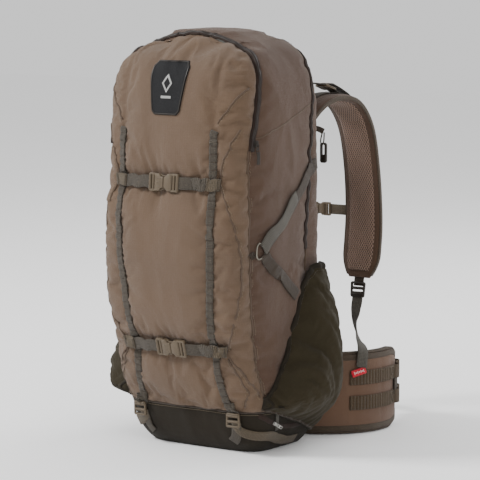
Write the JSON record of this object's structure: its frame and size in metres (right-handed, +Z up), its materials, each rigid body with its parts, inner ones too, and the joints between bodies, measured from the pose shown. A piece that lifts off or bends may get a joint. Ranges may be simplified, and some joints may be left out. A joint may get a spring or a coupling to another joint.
{
  "type": "hunting backpack",
  "caption": "Tall zipped hunting backpack with front compression straps, stretch side pockets, padded harness and hip belt.",
  "frame": {"origin": "middle of the flat resting base", "axes": "+Z up, front panel towards -Y, wearer on +Y, +X at the pack's own side seen on the right from the front"},
  "size_m": [0.424, 0.5135, 0.6648],
  "materials": {
    "front_fabric": "fine ripstop weave, matte",
    "side_fabric": "plain weave, matte",
    "dark_fabric": "coarse stretch weave, matte",
    "webbing": "ribbed webbing, matte",
    "zip_tape": "coated tape, satin",
    "mesh_lining": "spacer mesh, matte",
    "patch": "bonded patch, satin",
    "tag_fabric": "woven tape, satin",
    "buckle_plastic": "moulded, satin",
    "dark_plastic": "moulded, satin",
    "frame_plastic": "sheet, satin",
    "zip_slider": "painted, satin",
    "wire": "bent wire, satin"
  },
  "bodies": {
    "bag": {"base_panel": "dark_fabric", "front_panel": "front_fabric", "side_panel_left": "side_fabric", "side_panel_right": "side_fabric", "top_panel": "side_fabric", "back_panel": "side_fabric", "front_zip_tape": "zip_tape", "main_zip_tape": "zip_tape", "side_pocket_left": "dark_fabric", "side_pocket_right": "dark_fabric", "daisy_chain_left": "webbing", "daisy_chain_right": "webbing", "upper_strap_left": "webbing", "upper_strap_right": "webbing", "lower_strap_left": "webbing", "lower_strap_right": "webbing", "side_strap_upper_left": "webbing", "side_strap_upper_right": "webbing", "side_strap_lower_left": "webbing", "side_strap_lower_right": "webbing", "side_ring_left": "wire", "side_ring_right": "wire", "bottom_strap_left": "webbing", "bottom_strap_right": "webbing", "bottom_ladder_lock_left": "dark_plastic", "bottom_ladder_lock_right": "dark_plastic", "upper_buckle_female": "buckle_plastic", "lower_buckle_female": "buckle_plastic", "frame_sheet": "frame_plastic", "back_pad": "mesh_lining", "lumbar_pad": "mesh_lining", "shoulder_yoke": "side_fabric", "load_lifter_left": "webbing", "load_lifter_right": "webbing", "adjuster_webbing_left": "webbing", "adjuster_webbing_right": "webbing", "hip_wing_left": "side_fabric", "hip_wing_right": "side_fabric", "strap_tag": "tag_fabric"},
    "front_flap": {"front_flap": "front_fabric", "logo_patch": "patch"},
    "front_zip_slider": {"front_zip_slider": "zip_slider"},
    "main_zip_slider": {"main_zip_slider": "zip_slider"},
    "rain_cover_zip_slider": {"rain_cover_zip_slider": "wire"},
    "upper_buckle_male": {"upper_buckle_male": "buckle_plastic"},
    "lower_buckle_male": {"lower_buckle_male": "buckle_plastic"},
    "harness": {"shoulder_strap_left": "side_fabric", "shoulder_strap_right": "side_fabric", "load_lifter_buckle_left": "dark_plastic", "load_lifter_buckle_right": "dark_plastic", "adjuster_buckle_left": "dark_plastic", "adjuster_buckle_right": "dark_plastic"},
    "sternum_strap": {"sternum_strap_left": "webbing", "sternum_strap_right": "webbing", "sternum_buckle_female": "buckle_plastic"},
    "sternum_buckle_male": {"sternum_buckle_male": "buckle_plastic"},
    "hanging_pull": {"hanging_pull": "dark_plastic"},
    "haul_loop": {"haul_loop": "webbing"},
    "belt_buckle_left": {"hip_buckle_female": "buckle_plastic"},
    "belt_buckle_right": {"hip_buckle_male": "buckle_plastic"}
  },
  "joints": [
    {"name": "flap_hinge", "type": "hinge", "parent": "bag", "child": "front_flap", "pos_m": [0, -0.1262, 0.525], "axis": [1, 0, 0], "range_deg": [0, 100]},
    {"name": "front_zip_slide", "type": "slide", "parent": "bag", "child": "front_zip_slider", "axis": [-0.06, 0.2421, 0.9684], "range_m": [0, 0.022]},
    {"name": "main_zip_slide", "type": "slide", "parent": "bag", "child": "main_zip_slider", "axis": [0, 0.0995, 0.995], "range_m": [0, 0.06]},
    {"name": "rain_cover_zip_slide", "type": "slide", "parent": "bag", "child": "rain_cover_zip_slider", "axis": [0, -0.8189, 0.5739], "range_m": [0, 0.016]},
    {"name": "upper_buckle_release", "type": "slide", "parent": "bag", "child": "upper_buckle_male", "axis": [1, 0, 0], "range_m": [0, 0.022]},
    {"name": "lower_buckle_release", "type": "slide", "parent": "bag", "child": "lower_buckle_male", "axis": [1, 0, 0], "range_m": [0, 0.022]},
    {"name": "harness_swing", "type": "hinge", "parent": "bag", "child": "harness", "pos_m": [0, 0.116, 0.482], "axis": [1, 0, 0], "range_deg": [-8, 8]},
    {"name": "sternum_height", "type": "slide", "parent": "harness", "child": "sternum_strap", "axis": [0, 0, 1], "range_m": [-0.04, 0.04]},
    {"name": "sternum_release", "type": "slide", "parent": "sternum_strap", "child": "sternum_buckle_male", "axis": [1, 0, 0], "range_m": [0, 0.016]},
    {"name": "pull_swing", "type": "hinge", "parent": "harness", "child": "hanging_pull", "pos_m": [0.11, 0.15, 0.498], "axis": [1, 0, 0], "range_deg": [-20, 20]},
    {"name": "haul_fold", "type": "hinge", "parent": "bag", "child": "haul_loop", "pos_m": [0, 0.1055, 0.5575], "axis": [1, 0, 0], "range_deg": [-60, 0]},
    {"name": "belt_swing_left", "type": "hinge", "parent": "bag", "child": "belt_buckle_left", "pos_m": [-0.086, 0.343, 0.07], "axis": [0, 0, 1], "range_deg": [0, 60]},
    {"name": "belt_swing_right", "type": "hinge", "parent": "bag", "child": "belt_buckle_right", "pos_m": [0.086, 0.343, 0.07], "axis": [0, 0, 1], "range_deg": [-60, 0]}
  ]
}
